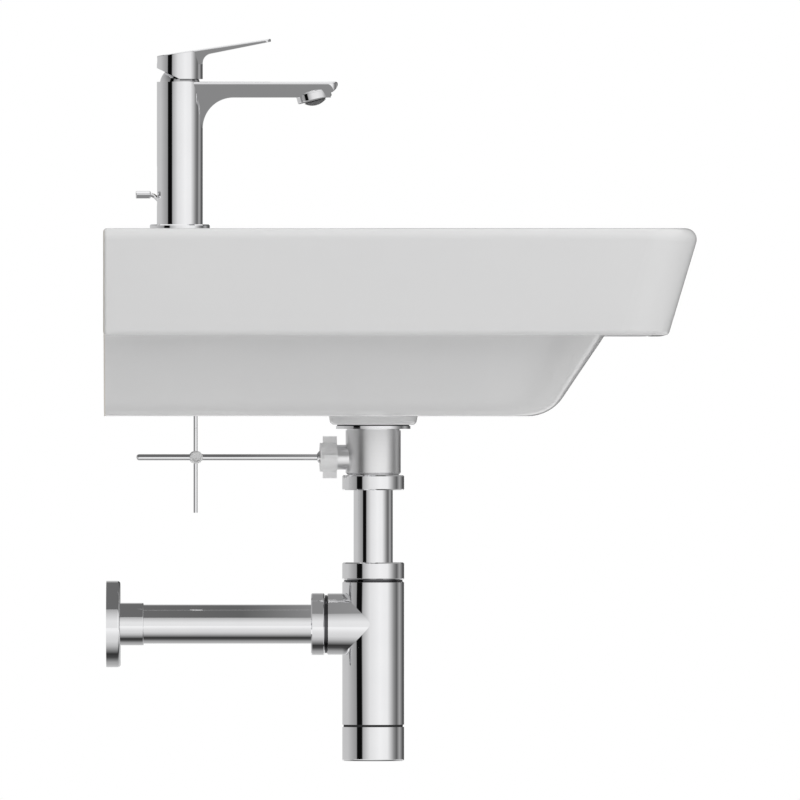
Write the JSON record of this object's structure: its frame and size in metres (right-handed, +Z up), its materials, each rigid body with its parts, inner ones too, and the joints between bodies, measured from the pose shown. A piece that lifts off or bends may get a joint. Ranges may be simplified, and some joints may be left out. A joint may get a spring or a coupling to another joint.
{
  "type": "vanity basin",
  "caption": "Wall-hung rectangular ceramic wash basin with a deck lever tap, lift-rod pop-up waste and a chrome bottle trap running to the wall.",
  "frame": {"origin": "midpoint between the two wall-bolt holes, on the wall face", "axes": "+Z up, +Y into the wall, so the basin's front faces -Y and +X is to the right seen from the front"},
  "size_m": [0.6, 0.48, 0.5899],
  "materials": {
    "white_ceramic": "glossy white glaze",
    "polished_chrome": "mirror-bright plating",
    "satin_metal": "satin turned metal",
    "white_plastic": "milky moulded plastic",
    "inner_plastic": "moulded plastic",
    "grey_plastic": "dark grey moulded plastic",
    "rubber_seal": "matt black rubber",
    "bare_steel": "zinc-plated steel",
    "bare_brass": "machined brass"
  },
  "bodies": {
    "basin_body": {"basin": "white_ceramic", "tap_body": "polished_chrome", "tap_base_ring": "polished_chrome", "tap_dome": "polished_chrome", "aerator_ring": "polished_chrome", "waste_flange": "polished_chrome", "tail_nut": "polished_chrome", "dip_pipe": "polished_chrome", "trap_body": "polished_chrome", "trap_inlet_nut": "polished_chrome", "trap_outlet_nut": "polished_chrome", "trap_cup": "polished_chrome", "outlet_pipe": "polished_chrome", "wall_flange": "polished_chrome", "waste_washer": "polished_chrome", "waste_body": "satin_metal", "ball_nut": "white_plastic", "cartridge_body": "inner_plastic", "ball_seat": "inner_plastic", "tap_base_gasket": "rubber_seal", "tap_fixing_gasket": "rubber_seal", "aerator_seal": "rubber_seal", "waste_flange_seal": "rubber_seal", "waste_seal": "rubber_seal", "tail_seal": "rubber_seal", "trap_inlet_seal": "rubber_seal", "trap_outlet_seal": "rubber_seal", "trap_cup_seal": "rubber_seal", "tap_fixing_stud": "bare_steel", "tap_fixing_plate": "bare_steel", "tap_fixing_nut": "bare_steel", "tap_core": "bare_brass", "cartridge_ring_nut": "bare_brass"},
    "carrier_body": {"cartridge_carrier": "inner_plastic", "cartridge_pin": "bare_steel"},
    "lever_body": {"tap_lever": "polished_chrome", "cartridge_stem": "bare_brass", "lever_grub_screw": "bare_steel", "lever_screw_cap": "grey_plastic"},
    "lift_rod_body": {"lift_rod": "polished_chrome", "lift_knob": "polished_chrome", "lift_rod_clamp": "white_plastic", "clamp_set_screw": "bare_steel"},
    "rod_clamp_body": {"rod_clamp": "white_plastic", "clamp_thumbscrew": "white_plastic"},
    "ball_rod_body": {"ball_rod": "polished_chrome", "pivot_ball": "polished_chrome"},
    "plug_body": {"plug": "polished_chrome", "plug_seal": "rubber_seal", "plug_stem": "inner_plastic"},
    "aerator_body": {"aerator_swivel": "grey_plastic", "aerator_insert": "grey_plastic"}
  },
  "joints": [
    {"name": "lever_swivel", "type": "hinge", "parent": "basin_body", "child": "carrier_body", "pos_m": [0, -0.06, 0.193], "axis": [0, 0, 1], "range_deg": [-45, 45]},
    {"name": "lever_tilt", "type": "hinge", "parent": "carrier_body", "child": "lever_body", "pos_m": [0, -0.06, 0.193], "axis": [-1, 0, 0], "range_deg": [0, 25]},
    {"name": "lift_rod_slide", "type": "slide", "parent": "basin_body", "child": "lift_rod_body", "axis": [0, 0, 1], "range_m": [0, 0.024]},
    {"name": "rod_clamp_pivot", "type": "hinge", "parent": "lift_rod_body", "child": "rod_clamp_body", "pos_m": [0, -0.0728, -0.1107], "axis": [0.9985, 0.0551, 0], "range_deg": [0, 13]},
    {"name": "ball_rod_pivot", "type": "hinge", "parent": "basin_body", "child": "ball_rod_body", "pos_m": [-0.0022, -0.17806, -0.1107], "axis": [0.9985, 0.0551, 0], "range_deg": [0, 13]},
    {"name": "plug_slide", "type": "slide", "parent": "basin_body", "child": "plug_body", "axis": [0, 0, 1], "range_m": [-0.0092, 0]},
    {"name": "aerator_tilt", "type": "hinge", "parent": "basin_body", "child": "aerator_body", "pos_m": [0, -0.16926, 0.18584], "axis": [1, 0, 0], "range_deg": [-6, 6]}
  ],
  "couplings": [
    {"joint": "rod_clamp_pivot", "follows": "lift_rod_slide", "rad_per_m": 9.4},
    {"joint": "ball_rod_pivot", "follows": "lift_rod_slide", "rad_per_m": 9.4},
    {"joint": "plug_slide", "follows": "lift_rod_slide", "ratio": -0.3825}
  ]
}
